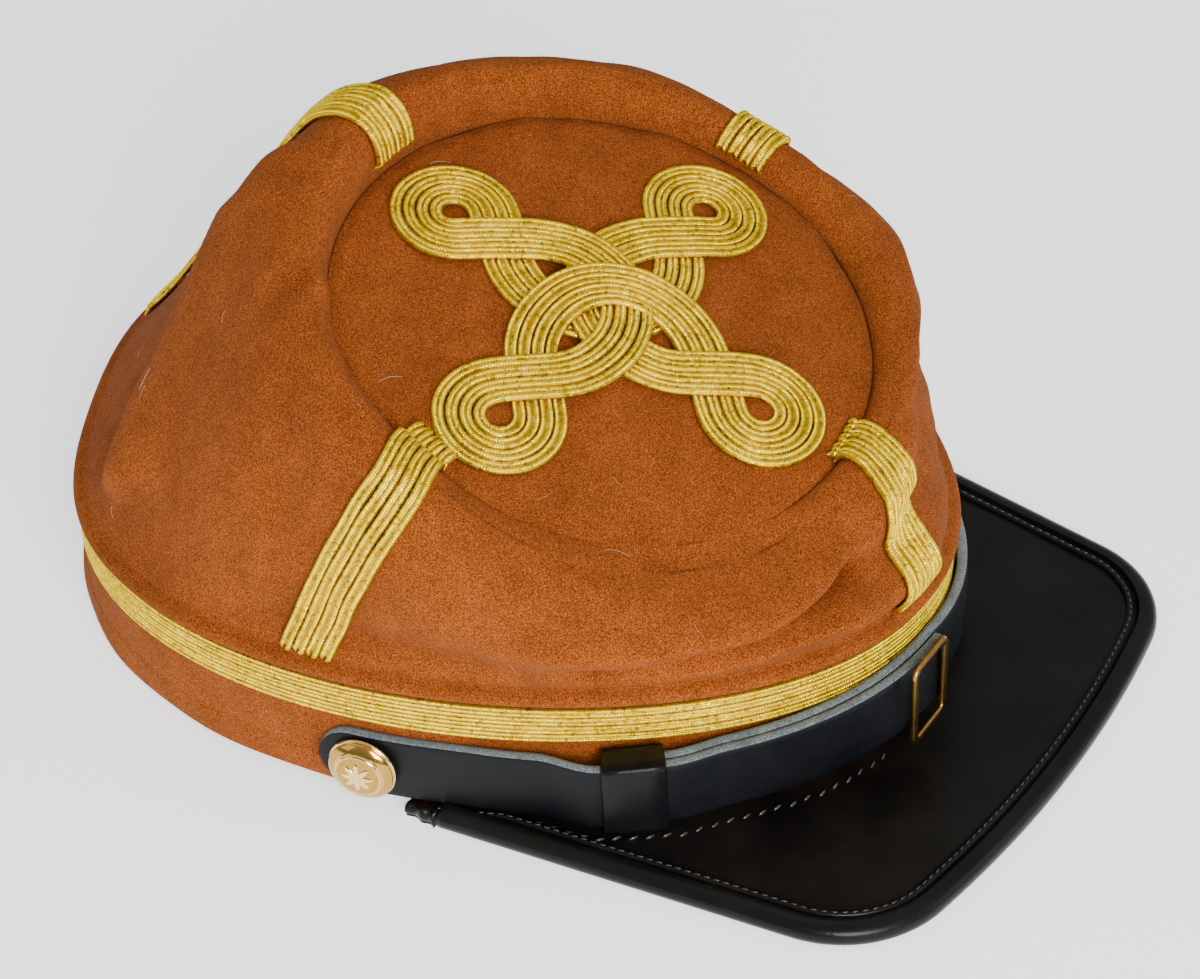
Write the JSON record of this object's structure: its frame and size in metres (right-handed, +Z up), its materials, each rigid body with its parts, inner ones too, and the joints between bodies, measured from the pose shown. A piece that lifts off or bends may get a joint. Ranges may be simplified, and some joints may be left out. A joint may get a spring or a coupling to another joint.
{
  "type": "kepi cap",
  "caption": "Slouched wool kepi with a recessed round top, a gold braid knot and rank braid, a bound leather peak and a buckled front strap with domed buttons.",
  "frame": {"origin": "on the ground, under the middle of the cap's own box", "axes": "+Z up, the peak towards -Y, the wearer's left towards +X"},
  "size_m": [0.1748, 0.2446, 0.1122],
  "materials": {
    "wool": "rust-brown wool cloth with a short nap",
    "gold_braid": "metallic gold braid with a herringbone of fine thread",
    "peak_leather": "near-black leather with a fine grain and a soft gloss",
    "strap_leather": "blue-black smooth leather with grey-blue cut edges",
    "polished_brass": "polished",
    "dark_brass": "dark patina with bright edges"
  },
  "bodies": {
    "root": {"crown_side": "wool", "crown_top": "wool", "band": "wool", "band_braid": "gold_braid", "top_knot": "gold_braid", "braid_front": "gold_braid", "braid_left": "gold_braid", "braid_back": "gold_braid", "braid_right": "gold_braid", "peak": "peak_leather", "peak_binding": "peak_leather", "binding_tuck_left": "peak_leather", "binding_tuck_right": "peak_leather", "strap_right": "strap_leather", "strap_left": "strap_leather", "strap_keeper": "strap_leather", "strap_buckle": "dark_brass", "button_left": "polished_brass", "button_right": "polished_brass"}
  },
  "joints": []
}
